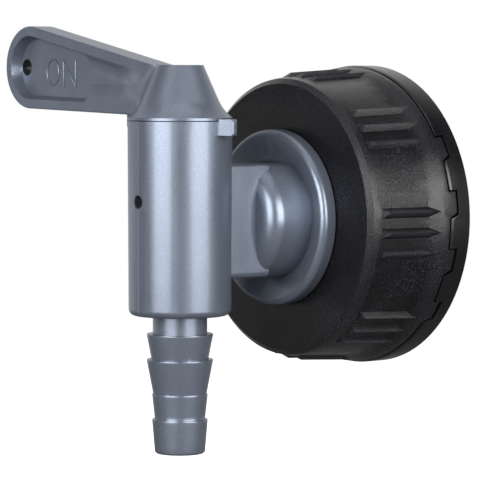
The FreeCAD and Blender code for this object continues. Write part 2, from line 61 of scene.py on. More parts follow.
camera.matrix_world = Matrix.Translation(eye) @ turn
bpy.context.scene.camera = camera
bpy.context.scene.view_settings.view_transform = "Standard"

# Studio: a large softbox on each side of the camera, which the barrel shows as two upright bands, and
# a weak one overhead. The side ones reach from 10 degrees below the tap's level to 30 above it.
lamp_distance = 1.1


def softbox(name, bearing, rise, width, height, brightness):
    """Area lamp at a bearing from +X and a rise above level, in degrees, that faces the tap."""
    lamp = bpy.data.lights.new(name, "AREA")
    lamp.shape = "RECTANGLE"
    lamp.size = width
    lamp.size_y = height
    lamp.energy = brightness * math.pi * width * height
    around, up = math.radians(bearing), math.radians(rise)
    level = math.cos(up)
    way = Vector((level * math.cos(around), level * math.sin(around), math.sin(up)))
    holder = bpy.data.objects.new(name, lamp)
    holder.location = way * lamp_distance
    holder.rotation_mode = "QUATERNION"
    holder.rotation_quaternion = way.to_track_quat("Z", "Y")
    bpy.context.scene.collection.objects.link(holder)


softbox("softbox_left", bearing=-77, rise=10, width=0.92, height=0.82, brightness=7.9)
softbox("softbox_right", bearing=6, rise=10, width=0.96, height=0.82, brightness=7.9)
softbox("softbox_top", bearing=-60, rise=78, width=1.2, height=1.2, brightness=0.9)

# Room: a light tent, pale behind the tap and dim in front of it. The camera and glass see it white all
# round, and glossy surfaces see it white only behind the tap and above the horizon. The stretches are
# parts of a direction's unit length, straight away from the camera or straight up.
room_dim = (0.055, 0.055, 0.062, 1)
room_pale = (0.2, 0.2, 0.22, 1)
white = (1, 1, 1, 1)
pale_stretch = (0.25, 0.8)
gloss_stretch = (0.2, 0.75)
horizon_stretch = (-0.1, 0.12)


def put(tree, kind, inputs=None, **settings):
    """Add a node, make its settings, and set or link its inputs."""
    node = tree.nodes.new(kind)
    for name, value in settings.items():
        setattr(node, name, value)
    for name, value in (inputs or {}).items():
        if isinstance(value, bpy.types.NodeSocket):
            tree.links.new(value, node.inputs[name])
        else:
            node.inputs[name].default_value = value
    return node


def calc(tree, operation, a, b=0.0, c=0.0):
    """Result of one sum on up to three values."""
    return put(tree, "ShaderNodeMath", {0: a, 1: b, 2: c}, operation=operation).outputs["Value"]


def fade(tree, value, start, end, low=0.0, high=1.0, curve="SMOOTHSTEP"):
    """Low up to start, high from end on, and a curve or a straight line between them."""
    inputs = {"Value": value, "From Min": start, "From Max": end, "To Min": low, "To Max": high}
    return put(tree, "ShaderNodeMapRange", inputs, interpolation_type=curve).outputs["Result"]


def blend(tree, share, a, b):
    """Colour that goes from a at share 0 to b at share 1."""
    return put(tree, "ShaderNodeMix", {"Factor": share, "A": a, "B": b}, data_type="RGBA").outputs["Result"]


def either(tree, share, a, b):
    """Shader a at share 0 and shader b at share 1."""
    return put(tree, "ShaderNodeMixShader", {"Fac": share, 1: a, 2: b}).outputs["Shader"]


def past_tap(tree, place):
    """How far a direction or a place goes past the tap, straight away from the camera."""
    reach = put(tree, "ShaderNodeVectorMath", {0: place, 1: -to_eye}, operation="DOT_PRODUCT")
    return reach.outputs["Value"]


def white_share(tree, glossy_share):
    """Share of white that a ray sees: all from the camera or through glass, and some in a gloss."""
    ray = put(tree, "ShaderNodeLightPath").outputs
    clear = calc(tree, "MAXIMUM", ray["Is Camera Ray"], ray["Is Transmission Ray"])
    return calc(tree, "MAXIMUM", clear, calc(tree, "MULTIPLY", ray["Is Glossy Ray"], glossy_share))


world = bpy.data.worlds.new("light_tent")
bpy.context.scene.world = world
world.use_nodes = True
tree = world.node_tree
tree.nodes.clear()
way = put(tree, "ShaderNodeTexCoord").outputs["Generated"]
behind = past_tap(tree, way)
tint = blend(tree, fade(tree, behind, *pale_stretch, curve="LINEAR"), room_dim, room_pale)
dim_room = put(tree, "ShaderNodeBackground", {"Color": tint}).outputs["Background"]
white_room = put(tree, "ShaderNodeBackground", {"Color": white}).outputs["Background"]
height = put(tree, "ShaderNodeSeparateXYZ", {"Vector": way}).outputs["Z"]
above = fade(tree, height, *horizon_stretch)
glossy_share = calc(tree, "MULTIPLY", above, fade(tree, behind, *gloss_stretch, curve="LINEAR"))
seen = either(tree, white_share(tree, glossy_share), dim_room, white_room)
put(tree, "ShaderNodeOutputWorld", {"Surface": seen})

# Floor: a pale sheet below the tap, which keeps its shadow. It is seen white, fades into the white
# room further off, and throws little light back, so that the tap's undersides stay dark. From below it
# is seen through.
floor_height = -0.075
floor_size = 8
floor_dim = (0.2, 0.2, 0.2, 1)
floor_pale = (0.8, 0.8, 0.8, 1)
floor_glow = 0.75
floor_fade = (0.25, 0.7)
floor_gloss = (0.05, 0.4)
bpy.ops.object.select_all(action="DESELECT")
bpy.ops.mesh.primitive_plane_add(size=floor_size, location=(0, 0, floor_height))
floor = bpy.context.object
floor.name = "floor"
paper = bpy.data.materials.new("floor_paper")
paper.use_nodes = True
tree = paper.node_tree
tree.nodes.clear()
dim = put(tree, "ShaderNodeBsdfDiffuse", {"Color": floor_dim}).outputs["BSDF"]
bright = put(tree, "ShaderNodeBsdfDiffuse", {"Color": floor_pale}).outputs["BSDF"]
glow = put(tree, "ShaderNodeEmission", {"Color": white, "Strength": floor_glow}).outputs["Emission"]
near_part = put(tree, "ShaderNodeAddShader", {0: bright, 1: glow}).outputs["Shader"]
far_part = put(tree, "ShaderNodeEmission", {"Color": white}).outputs["Emission"]
spot = put(tree, "ShaderNodeTexCoord").outputs["Object"]
reach = put(tree, "ShaderNodeVectorMath", {0: spot}, operation="LENGTH").outputs["Value"]
lit = either(tree, fade(tree, reach, *floor_fade), near_part, far_part)
glossy_share = fade(tree, past_tap(tree, spot), *floor_gloss)
seen = either(tree, white_share(tree, glossy_share), dim, lit)
underside = put(tree, "ShaderNodeNewGeometry").outputs["Backfacing"]
hole = put(tree, "ShaderNodeBsdfTransparent").outputs["BSDF"]
put(tree, "ShaderNodeOutputMaterial", {"Surface": either(tree, underside, seen, hole)})
floor.data.materials.append(paper)

# Tap body: one moulding of satin blue-grey plastic, with the barrel, the spanner block, the collar and
# the dished flange. The mould's halves meet on a line down the front of the barrel, where a hair of
# flash stands up with a painted highlight along it, and the skin has a faint grain, flow marks and
# scuffs from handling.
record = frame["record"]
body_of = {node: body for body, nodes in record["behaviour"]["bodies"].items() for node in nodes}
seam_gap = 2e-6
flat_angle = math.radians(0.3)
edge_angle = math.radians(30)


def ease_edges(piece, width):
    """Round the sharp edges of a piece."""
    ease = piece.modifiers.new("ease", "BEVEL")
    ease.width = width
    ease.segments = 2
    ease.limit_method = "ANGLE"
    ease.angle_limit = edge_angle
    bpy.ops.object.modifier_apply(modifier="ease")


def moulding(node, edge):
    """Copy of a solid with its seams closed, its edges eased and its round faces smooth."""
    bpy.ops.object.select_all(action="DESELECT")
    piece = bpy.data.objects.new(node + "_moulding", frame["nodes"][node].data.copy())
    bpy.context.scene.collection.objects.link(piece)
    piece.data.materials.clear()
    bpy.context.view_layer.objects.active = piece
    piece.select_set(True)
    bpy.ops.mesh.customdata_custom_splitnormals_clear()
    bpy.ops.object.mode_set(mode="EDIT")
    bpy.ops.mesh.select_all(action="SELECT")
    bpy.ops.mesh.remove_doubles(threshold=seam_gap)
    bpy.ops.mesh.dissolve_limited(angle_limit=flat_angle)
    bpy.ops.object.mode_set(mode="OBJECT")
    ease_edges(piece, edge)
    bpy.ops.object.shade_smooth_by_angle(angle=edge_angle)
    weigh = piece.modifiers.new("weigh", "WEIGHTED_NORMAL")
    weigh.keep_sharp = True
    bpy.ops.object.modifier_apply(modifier="weigh")
    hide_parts(node)
    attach(piece, body_of[node])
    return piece


def group(name, inputs, outputs):
    """Empty node group with named inputs: a number, a colour of four or a place of three."""
    tree = bpy.data.node_groups.new(name, "ShaderNodeTree")
    for label, value in inputs.items():
        size = len(value) if isinstance(value, tuple) else 1
        kind = {1: "NodeSocketFloat", 3: "NodeSocketVector", 4: "NodeSocketColor"}[size]
        socket = tree.interface.new_socket(label, in_out="INPUT", socket_type=kind)
        socket.default_value = value
    for label in outputs:
        kind = "NodeSocketColor" if label == "Color" else "NodeSocketFloat"
        tree.interface.new_socket(label, in_out="OUTPUT", socket_type=kind)
    return tree, tree.nodes.new("NodeGroupInput").outputs, tree.nodes.new("NodeGroupOutput").inputs


def noise(tree, place, scale, detail, roughness=0.5):
    """Cloudy random pattern over a place, from 0 to 1, with about scale clouds to the metre."""
    inputs = {"Vector": place, "Scale": scale, "Detail": detail, "Roughness": roughness}
    return put(tree, "ShaderNodeTexNoise", inputs).outputs["Fac"]


def squeezed(tree, place, share):
    """Place with its height cut to a share, so that a pattern on it is drawn out upright."""
    scaled = put(tree, "ShaderNodeMapping", {"Vector": place, "Scale": (1.0, 1.0, share)})
    return scaled.outputs["Vector"]


def from_axis(tree, a, b):
    """Distance from an axis, from the two measures across it."""
    return calc(tree, "SQRT", calc(tree, "ADD", calc(tree, "MULTIPLY", a, a), calc(tree, "MULTIPLY", b, b)))


# The moulded skin that all the plastic pieces share: grain from the mould's steel, which makes the
# colour sandy, pale specks painted in as glints where the grain would catch the light, clouds where
# the melt flowed, and short pale scuffs.
skin, given, result = group(
    "moulded_skin",
    {
        "Color": (0.2, 0.2, 0.2, 1),
        "Pale Color": (0.5, 0.5, 0.5, 1),
        "Grain": 3000.0,
        "Sand": 0.3,
        "Glints": 0.1,
        "Scuffs": 0.2,
        "Clouds": 0.1,
        "Roughness": 0.3,
    },
    ("Color", "Roughness", "Height"),
)
place = put(skin, "ShaderNodeTexCoord").outputs["Object"]
grain = noise(skin, place, scale=given["Grain"], detail=2.0)
clouds = noise(skin, squeezed(skin, place, share=0.35), scale=210.0, detail=1.5)
patches = fade(skin, noise(skin, place, scale=75.0, detail=2.0), start=0.38, end=0.66)
# Glints: pale specks painted into the colour, a painted highlight on the grain, strongest in the patches.
glints = calc(skin, "MULTIPLY", fade(skin, grain, start=0.52, end=0.68), given["Glints"])
glints = calc(skin, "MULTIPLY", glints, calc(skin, "ADD", patches, 0.35))
hairs = noise(skin, squeezed(skin, place, share=0.2), scale=4200.0, detail=1.0)
hairs = fade(skin, hairs, start=0.64, end=0.76)
scuff = calc(skin, "MULTIPLY", calc(skin, "MULTIPLY", hairs, patches), given["Scuffs"])
swing = calc(skin, "MULTIPLY", calc(skin, "SUBTRACT", clouds, 0.5), given["Clouds"])
sand = calc(skin, "MULTIPLY", calc(skin, "SUBTRACT", grain, 0.5), given["Sand"])
tone = calc(skin, "ADD", calc(skin, "ADD", swing, sand), 1.0)
shade = put(skin, "ShaderNodeVectorMath", {0: given["Color"], "Scale": tone}, operation="SCALE")
color = blend(skin, calc(skin, "ADD", scuff, glints), shade.outputs["Vector"], given["Pale Color"])
rough = calc(skin, "ADD", given["Roughness"], calc(skin, "MULTIPLY", swing, 0.2))
skin.links.new(color, result["Color"])
skin.links.new(calc(skin, "ADD", rough, calc(skin, "MULTIPLY", scuff, 0.2)), result["Roughness"])
skin.links.new(calc(skin, "SUBTRACT", grain, scuff), result["Height"])

# The line where two mould halves meet, on the plane x = 0, as a mask.
flash, given, result = group("mould_line", {"Half Width": 0.00012, "Behind Y": 0.0}, ("Mask",))
place = put(flash, "ShaderNodeTexCoord").outputs["Object"]
spot = put(flash, "ShaderNodeSeparateXYZ", {"Vector": place}).outputs
across = calc(flash, "DIVIDE", calc(flash, "ABSOLUTE", spot["X"]), given["Half Width"])
on_line = put(flash, "ShaderNodeMath", {0: 1.0, 1: across}, operation="SUBTRACT", use_clamp=True)
in_front = calc(flash, "LESS_THAN", spot["Y"], given["Behind Y"])
flash.links.new(calc(flash, "MULTIPLY", on_line.outputs["Value"], in_front), result["Mask"])

# The grooves of a screw thread about the given place's Z axis, as a height: pitch, the length that the
# thread takes, and the two radii between which its surface lies.
thread, given, result = group(
    "screw_thread",
    {"Place": (0.0, 0.0, 0.0), "Pitch": 0.002, "Low": 0.0, "High": 0.01, "Inner": 0.0, "Outer": 0.01},
    ("Height",),
)
spot = put(thread, "ShaderNodeSeparateXYZ", {"Vector": given["Place"]}).outputs
turns = calc(thread, "DIVIDE", calc(thread, "ARCTAN2", spot["Y"], spot["X"]), 2 * math.pi)
along = calc(thread, "DIVIDE", spot["Z"], given["Pitch"])
groove = calc(thread, "PINGPONG", calc(thread, "ADD", along, turns), 0.5)
radius = from_axis(thread, spot["X"], spot["Y"])
inside = calc(thread, "LESS_THAN", radius, given["Outer"])
outside = calc(thread, "GREATER_THAN", radius, given["Inner"])
below = calc(thread, "LESS_THAN", spot["Z"], given["High"])
above = calc(thread, "GREATER_THAN", spot["Z"], given["Low"])
in_wall = calc(thread, "MULTIPLY", inside, outside)
on_length = calc(thread, "MULTIPLY", below, above)
cut = calc(thread, "MULTIPLY", groove, calc(thread, "MULTIPLY", in_wall, on_length))
thread.links.new(cut, result["Height"])

# The flash: how many times as pale as the skin it is painted, which is a painted highlight along its
# ridge, its share over the skin's colour, and its height against the grain's.
flash_highlight_gain = 2.2
flash_share = 0.8
flash_rise = 8.0


def place_group(tree, kind, values):
    """Outputs of a node group, put in a material with its own values or links."""
    return put(tree, "ShaderNodeGroup", values, node_tree=kind).outputs


def bump(tree, height, depth, under=None):
    """Normal of a relief with a height and a depth, on top of the one under it."""
    inputs = {"Height": height, "Distance": depth}
    if under is not None:
        inputs["Normal"] = under
    return put(tree, "ShaderNodeBump", inputs).outputs["Normal"]


def cut_thread(tree, place, values, under):
    """Normal of a screw thread about the Z axis of a place, on top of the relief under it."""
    cut = place_group(tree, thread, dict(values, Place=place))
    return bump(tree, cut["Height"], values["Pitch"], under)


def finish_of(name):
    """New material with its node tree and its shader."""
    finish = bpy.data.materials.new(name)
    finish.use_nodes = True
    return finish, finish.node_tree, finish.node_tree.nodes["Principled BSDF"]


def connect(tree, shader, color, roughness, normal):
    """Lead a finish's colour, roughness and relief into its shader."""
    tree.links.new(color, shader.inputs["Base Color"])
    tree.links.new(roughness, shader.inputs["Roughness"])
    tree.links.new(normal, shader.inputs["Normal"])


def plastic(name, values, depth, metallic=0.0, edge_gloss=1.0, line_before=None, screw=None, wear_and_sheen=None):
    """Moulded plastic: skin, and where given the mould's line painted paler as a highlight, a thread, or a
    mask of wear and painted highlight and its colour.
    """
    finish, tree, shader = finish_of(name)
    coat = place_group(tree, skin, values)
    color, height = coat["Color"], coat["Height"]
    if line_before is not None:
        line = place_group(tree, flash, {"Behind Y": line_before})["Mask"]
        # The mould's line is painted paler than the skin: a painted highlight along the flash.
        pale = tuple(min(1.0, flash_highlight_gain * part) for part in values["Color"][:3]) + (1,)
        color = blend(tree, calc(tree, "MULTIPLY", line, flash_share), color, pale)
        height = calc(tree, "ADD", height, calc(tree, "MULTIPLY", line, flash_rise))
    if wear_and_sheen is not None:
        kind, places, wear_and_sheen_color = wear_and_sheen
        color = blend(tree, place_group(tree, kind, places)["Mask"], color, wear_and_sheen_color)
    normal = bump(tree, height, depth)
    if screw is not None:
        spot = put(tree, "ShaderNodeTexCoord").outputs["Object"]
        upright = put(tree, "ShaderNodeMapping", {"Vector": spot, "Rotation": (math.radians(90), 0, 0)})
        normal = cut_thread(tree, upright.outputs["Vector"], screw, normal)
    connect(tree, shader, color, coat["Roughness"], normal)
    shader.inputs["Metallic"].default_value = metallic
    shader.inputs["Specular Tint"].default_value = (edge_gloss, edge_gloss, edge_gloss, 1)
    return finish


valve_axis_y = -0.0341
grey = {
    "Color": (0.163, 0.188, 0.234, 1),
    "Pale Color": (0.42, 0.45, 0.52, 1),
    "Grain": 2600.0,
    "Sand": 0.25,
    "Glints": 0.06,
    "Scuffs": 0.07,
    "Clouds": 0.25,
    "Roughness": 0.315,
}
grey_relief = 2.5e-6
grey_metallic = 0.62
grey_edge_gloss = 0.7
stub_thread = {"Pitch": 0.0015, "Low": -0.0042, "High": 0.0071, "Inner": 0.0127, "Outer": 0.0136}


def grey_plastic(name, **marks):
    """The tap's blue-grey plastic, whose pigment gives it a part of a metal's sheen."""
    return plastic(name, grey, grey_relief, metallic=grey_metallic, edge_gloss=grey_edge_gloss, **marks)


tap = moulding("tap_body", edge=0.0002)
tap.data.materials.append(grey_plastic("tap_grey", line_before=valve_axis_y, screw=stub_thread))

# Painted shade: the wall of the vent hole in front gets a near-black colour for the shade inside it.
hole_shade_values = dict(grey, Color=(0.02, 0.022, 0.026, 1))
painted_hole_shade = plastic("painted_hole_shade", hole_shade_values, depth=1e-5)
tap.data.materials.append(painted_hole_shade)
vent_x = 0.0
vent_z = 0.0046
vent_reach = 0.0015


def shade_hole_wall(piece, x, z, reach, before):
    """Give the wall of a hole that runs front to back the piece's second material, which is painted shade.
    """
    for side in piece.data.polygons:
        off_axis = math.hypot(side.center.x - x, side.center.z - z)
        if side.center.y < before and off_axis < reach and abs(side.normal.y) < 0.5:
            side.material_index = 1


shade_hole_wall(tap, vent_x, vent_z, vent_reach, valve_axis_y)

# Hose tail: a separate moulding of the same grey plastic, dropped into the barrel from above. Its four
# lips bite into the hose.
tail = moulding("hose_barb", edge=0.0001)
tail.data.materials.append(grey_plastic("tail_grey"))

# Lever: a moulding of the same grey plastic, pushed on the plug's square and screwed down. Its front
# panel, which shows when the tap is open, has the raised word ON, and its back panel has OFF. The wall
# of the hole at its tip, by which the tap hangs, gets the same painted shade.
hang_hole_x = -0.0605
hang_hole_z = 0.03455
hang_hole_reach = 0.0021
lever = moulding("lever_handle", edge=0.0002)
lever_grey = grey_plastic("lever_grey")
lever.data.materials.append(lever_grey)
lever.data.materials.append(painted_hole_shade)
shade_hole_wall(lever, hang_hole_x, hang_hole_z, hang_hole_reach, 0.0)

# The hollows where the blade's web runs into its rails and the hub are faired, as a mould's are: the
# radius is large half way up the hub, less at its top and least at its foot. An edge of the blade is a
# point and a slope, the hub's cone a radius, a height and a taper, and its flare an arc's middle and
# radius. The web starts 0.04 mm past the step in the solid, so that no two faces share a plane.
web_start = -0.03296
web_end = -0.002
web_fade = (-0.021, -0.009)
web_softness = 0.0018
web_depth = 0.0022
web_wall = 0.0026
rail_width = 0.0023
blade_half = 0.0032
blade_top = (-0.054071, 0.044229, -math.tan(math.radians(10.7)))
blade_foot = (-0.056123, 0.0247025, -math.tan(math.radians(1.3)))
blade_edge = 0.00045
hub_cone = (0.0087, 0.0274, 0.4359)
hub_flare = (0.017216, 0.030866, 0.009195)
fairing_radius = 0.018
fairing_least = 0.0003
fairing_opens = (0.0237, 0.0295)
fairing_closes = (0.030, 0.0355)
fairing_loss = 0.55
fairing_columns = 124
fairing_rows = 64
edge_clearance = 5e-5
hidden_depth = 1e-5
sharp = 1e-9


def step(value, stretch):
    """Smooth step of numbers from 0 at the start of a stretch to 1 at its end."""
    start, end = stretch
    share = np.clip((value - start) / (end - start), 0, 1)
    return share * share * (3 - 2 * share)


def edge_height(edge, x):
    """Height at x of the blade's top or foot edge."""
    edge_x, edge_z, slope = edge
    return edge_z + (x - edge_x) * slope


def blade_surface(x, z, sunk, softness):
    """How far the blade's face stands from its middle plane at (x, z), with the web sunk in it."""
    inward = np.minimum(edge_height(blade_top, x) - z, z - edge_height(blade_foot, x))
    edge = np.clip(blade_edge - inward, 0, blade_edge)
    rounded = blade_edge - np.sqrt(blade_edge**2 - edge**2)
    wall = np.maximum(inward - rail_width, 0) * web_depth / web_wall
    corner = np.maximum(softness - np.abs(wall - web_depth), 0) ** 2 / (4 * softness)
    return blade_half - rounded - (np.minimum(wall, web_depth) - corner) * sunk


def hub_radius(z):
    """Radius of the hub at a height: a cone above a flare."""
    cone_radius, cone_height, taper = hub_cone
    middle_radius, middle_height, flare_radius = hub_flare
    flare = middle_radius - np.sqrt(np.maximum(flare_radius**2 - (z - middle_height) ** 2, 0))
    return np.where(z > cone_height, cone_radius - (z - cone_height) * taper, flare)


def fairing(name, side, sunk):
    """Fair the front (-1) or back (1) of the blade into the hub. Sunk is 1 with a web and 0 with none."""
    bpy.ops.object.select_all(action="DESELECT")
    bpy.ops.mesh.primitive_grid_add(x_subdivisions=fairing_columns, y_subdivisions=fairing_rows, size=1)
    piece = bpy.context.object
    piece.name = name
    bpy.ops.object.mode_set(mode="EDIT")
    bpy.ops.mesh.select_all(action="SELECT")
    bpy.ops.mesh.extrude_region_move(TRANSFORM_OT_translate={"value": (0, 0, -1)})
    bpy.ops.object.mode_set(mode="OBJECT")
    spots = np.array([vertex.co for vertex in piece.data.vertices])
    x = web_start + (spots[:, 0] + 0.5) * (web_end - web_start)
    foot = edge_height(blade_foot, x) + edge_clearance
    top = edge_height(blade_top, x) - edge_clearance
    z = foot + (spots[:, 1] + 0.5) * (top - foot)
    face = blade_surface(x, z, sunk * (1 - step(x, web_fade)), web_softness)
    ball = fairing_radius * step(z, fairing_opens) * (1 - fairing_loss * step(z, fairing_closes))
    ball += fairing_least
    hub = hub_radius(z)
    round_hub = np.sqrt(np.maximum(hub**2 - x**2, 0))
    hollow_x = -np.sqrt((hub + ball) ** 2 - (face + ball) ** 2)
    hollow = face + ball - np.sqrt(np.maximum(ball**2 - (x - hollow_x) ** 2, 0))
    faired = np.where(x < hollow_x, face, np.where(x < hollow_x * hub / (hub + ball), hollow, round_hub))
    bare = np.maximum(blade_surface(x, z, sunk, sharp), round_hub)
    # Where it adds nothing, the piece lies just under the solid's skin, and the extruded half of its
    # points closes it on the blade's middle plane.
    reach = np.where(faired - bare > hidden_depth, faired, bare - hidden_depth)
    reach[spots[:, 2] < -0.5] = 0
    places = np.stack([x, valve_axis_y + side * reach, z], axis=1)
    piece.data.vertices.foreach_set("co", places.ravel())
    piece.data.update()
    bpy.ops.object.mode_set(mode="EDIT")
    bpy.ops.mesh.select_all(action="SELECT")
    bpy.ops.mesh.normals_make_consistent(inside=False)
    bpy.ops.object.mode_set(mode="OBJECT")
    bpy.ops.object.shade_smooth_by_angle(angle=math.radians(50))
    piece.data.materials.append(lever_grey)
    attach(piece, body_of["lever_handle"])


fairing("web_fairing_front", side=-1, sunk=1.0)
fairing("web_fairing_back", side=1, sunk=0.0)

# The raised words are strokes of round bar, half sunk in the panels.
letter_radius = 0.00022
round_half_width = 0.00245
round_half_height = 0.00297
front_panel_y = -0.03464
back_panel_y = -0.03146


def raised_bar(start, end):
    """Straight stroke of a letter: a round bar with domed ends, half sunk in the panel."""
    along = Vector(end) - Vector(start)
    bpy.ops.object.select_all(action="DESELECT")
    bpy.ops.mesh.primitive_uv_sphere_add(segments=16, ring_count=9, radius=letter_radius)
    bar = bpy.context.object
    bpy.ops.object.mode_set(mode="EDIT")
    bpy.ops.mesh.select_all(action="DESELECT")
    bpy.ops.object.mode_set(mode="OBJECT")
    for vertex in bar.data.vertices:
        vertex.select = vertex.co.z > 0
    bpy.ops.object.mode_set(mode="EDIT")
    bpy.ops.transform.translate(value=(0, 0, along.length))
    bpy.ops.object.mode_set(mode="OBJECT")
    bar.rotation_mode = "QUATERNION"
    bar.rotation_quaternion = along.to_track_quat("Z", "Y")
    bar.location = start
    bpy.ops.object.transform_apply()
    return bar


def raised_oval(middle):
    """Round stroke of a letter, half sunk in the panel."""
    bpy.ops.object.select_all(action="DESELECT")
    bpy.ops.mesh.primitive_torus_add(
        location=middle,
        rotation=(math.radians(90), 0, 0),
        major_segments=48,
        minor_segments=12,
        major_radius=round_half_width,
        minor_radius=letter_radius,
    )
    oval = bpy.context.object
    oval.scale = (1, round_half_height / round_half_width, 1)
    bpy.ops.object.transform_apply()
    return oval


def raised_word(name, strokes):
    """Join a word's strokes into one piece of the lever's plastic."""
    bpy.ops.object.select_all(action="DESELECT")
    for stroke in strokes:
        stroke.select_set(True)
    bpy.context.view_layer.objects.active = strokes[0]
    bpy.ops.object.join()
    word = bpy.context.object
    word.name = name
    bpy.ops.object.shade_smooth_by_angle(angle=math.radians(60))
    word.data.materials.append(lever_grey)
    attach(word, body_of["lever_handle"])


def straight_strokes(y, *corners):
    """Strokes from corner to corner, given as (x, z) in millimetres."""
    points = [(x / 1000, y, z / 1000) for x, z in corners]
    return [raised_bar(start, end) for start, end in zip(points, points[1:])]


letter_o = raised_oval((-0.0495, front_panel_y, 0.03345))
letter_n = straight_strokes(front_panel_y, (-45.05, 29.9), (-45.05, 36.2), (-40.1, 29.9), (-40.1, 36.2))
raised_word("word_on", [letter_o] + letter_n)
letter_o = raised_oval((-0.0405, back_panel_y, 0.0332))
letters_f = []
for stem in (-44.7, -50.3):
    letters_f += straight_strokes(back_panel_y, (stem, 30.2), (stem, 36.2), (stem - 4.0, 36.2))
    letters_f += straight_strokes(back_panel_y, (stem, 33.4), (stem - 3.4, 33.4))
raised_word("word_off", [letter_o] + letters_f)

# Screw cap: a black moulding with a spark-worn grain on its faces, screwed on the canister's neck. The
# thread inside it is one coarse ridge that goes round a little over one and a half times.
black = {
    "Color": (0.0018, 0.0014, 0.0022, 1),
    "Pale Color": (0.074, 0.071, 0.086, 1),
    "Grain": 3000.0,
    "Sand": 1.5,
    "Glints": 0.36,
    "Scuffs": 0.12,
    "Clouds": 0.5,
    "Roughness": 0.31,
}

# Where the cap is painted pale, as a mask: whatever stands off the skirt's slope, which are the ridges
# and the flare, and the bevel round the front. It is partly the rub of hands and partly a painted
# highlight, where these faces catch the lamps' gloss.
worn_and_lit_black = (0.035, 0.033, 0.038, 1)
rubbed_and_lit_places = {
    "Start": -0.0024,
    "Radius": 0.0324,
    "Slope": 0.0576,
    "Bevel Radius": 0.0309,
    "Length": 0.0139,
    "Grain": 3900.0,
}
rubbed_and_lit, given, result = group("rubbed_and_lit_grips", rubbed_and_lit_places, ("Mask",))
place = put(rubbed_and_lit, "ShaderNodeTexCoord").outputs["Object"]
spot = put(rubbed_and_lit, "ShaderNodeSeparateXYZ", {"Vector": place}).outputs
radius = from_axis(rubbed_and_lit, spot["X"], spot["Z"])
back = calc(rubbed_and_lit, "SUBTRACT", spot["Y"], given["Start"])
wall = calc(rubbed_and_lit, "MULTIPLY_ADD", back, given["Slope"], given["Radius"])
raised = fade(rubbed_and_lit, calc(rubbed_and_lit, "SUBTRACT", radius, wall), start=0.0002, end=0.0008)
past_ridges = calc(rubbed_and_lit, "SUBTRACT", back, given["Length"])
on_ridges = fade(rubbed_and_lit, past_ridges, start=0.0, end=0.0012, low=1.0, high=0.3)
raised = calc(rubbed_and_lit, "MULTIPLY", raised, on_ridges)
past_bevel = calc(rubbed_and_lit, "SUBTRACT", radius, given["Bevel Radius"])
round_front = fade(rubbed_and_lit, past_bevel, start=-0.0002, end=0.0003)
on_bevel = calc(rubbed_and_lit, "MULTIPLY", round_front, calc(rubbed_and_lit, "LESS_THAN", back, 0.0))
worn_and_lit = calc(rubbed_and_lit, "MAXIMUM", raised, calc(rubbed_and_lit, "MULTIPLY", on_bevel, 0.4))
speckle = fade(rubbed_and_lit, noise(rubbed_and_lit, place, scale=given["Grain"], detail=2.0), start=0.34, end=0.66)
rubbed_and_lit.links.new(calc(rubbed_and_lit, "MULTIPLY", worn_and_lit, speckle), result["Mask"])
cap_wear_and_sheen = (rubbed_and_lit, rubbed_and_lit_places, worn_and_lit_black)
# The cap's black is painted paler on its grips and bevel: wear and a painted highlight.
cap_black = plastic("cap_black", black, depth=7e-5, edge_gloss=0.7, wear_and_sheen=cap_wear_and_sheen)
cap = moulding("screw_cap", edge=0.00022)
cap.data.materials.append(cap_black)

# The thread's ridge is wound from its section, and rises from the wall and sinks back into it over a
# small part of a turn at its ends.
thread_root = 0.0305
thread_crest = 0.0292
thread_pitch = 0.006
thread_start = 0.0032
thread_turns = 1.6
thread_steps = 130
thread_ease = 0.0002
root_half = 0.0013
crest_half = 0.00035
end_overrun = 0.05
end_rise = 0.09
bpy.ops.object.select_all(action="DESELECT")
bpy.ops.mesh.primitive_plane_add(size=2)
ridge = bpy.context.object
ridge.name = "cap_thread_ridge"
for vertex in ridge.data.vertices:
    at_root = vertex.co.x > 0
    half = root_half if at_root else crest_half
    side = math.copysign(half, vertex.co.y)
    vertex.co = (thread_root if at_root else thread_crest, thread_start + side, 0)
wind = ridge.modifiers.new("wind", "SCREW")
wind.axis = "Y"
wind.angle = thread_turns * 2 * math.pi
wind.screw_offset = thread_turns * thread_pitch
wind.steps = wind.render_steps = thread_steps
bpy.ops.object.modifier_apply(modifier="wind")
for vertex in ridge.data.vertices:
    radius = math.hypot(vertex.co.x, vertex.co.z)
    wound = (vertex.co.y - thread_start) / thread_pitch
    to_end = min(wound, thread_turns - wound) + end_overrun
    rise = min(1.0, max(0.0, to_end / end_rise))
    target = thread_root + (radius - thread_root) * rise
    vertex.co.x *= target / radius
    vertex.co.z *= target / radius
bpy.ops.object.mode_set(mode="EDIT")
bpy.ops.mesh.select_all(action="SELECT")
bpy.ops.mesh.remove_doubles(threshold=seam_gap)
bpy.ops.mesh.fill_holes(sides=4)
bpy.ops.mesh.normals_make_consistent(inside=False)
bpy.ops.object.mode_set(mode="OBJECT")
ease_edges(ridge, thread_ease)
bpy.ops.object.shade_smooth_by_angle(angle=math.radians(35))
ridge.data.materials.append(cap_black)
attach(ridge, body_of["screw_cap"])

# Tamper ring: a smoother ring of the same black plastic behind the cap. Thin bridges hold it to the cap
# until they are broken, and then it stays behind on the canister's neck.
ring = moulding("tamper_ring", edge=0.00018)
ring_finish = dict(black, Grain=3200.0, Glints=0.15, Roughness=0.28)
ring.data.materials.append(plastic("ring_black", ring_finish, depth=8e-6))

# Lock nut: a hexagon of plain black plastic, moulded with its thread and turned on the stub inside the
# cap, where it draws the tap's flange against the cap's front.
nut = moulding("lock_nut", edge=0.00025)
nut_finish = dict(black, Color=(0.02, 0.02, 0.022, 1), Glints=0.2, Scuffs=0.6, Roughness=0.34)
nut_thread = dict(stub_thread, Inner=0.0131, Outer=0.0140)
nut.data.materials.append(plastic("nut_black", nut_finish, depth=1.2e-5, screw=nut_thread))

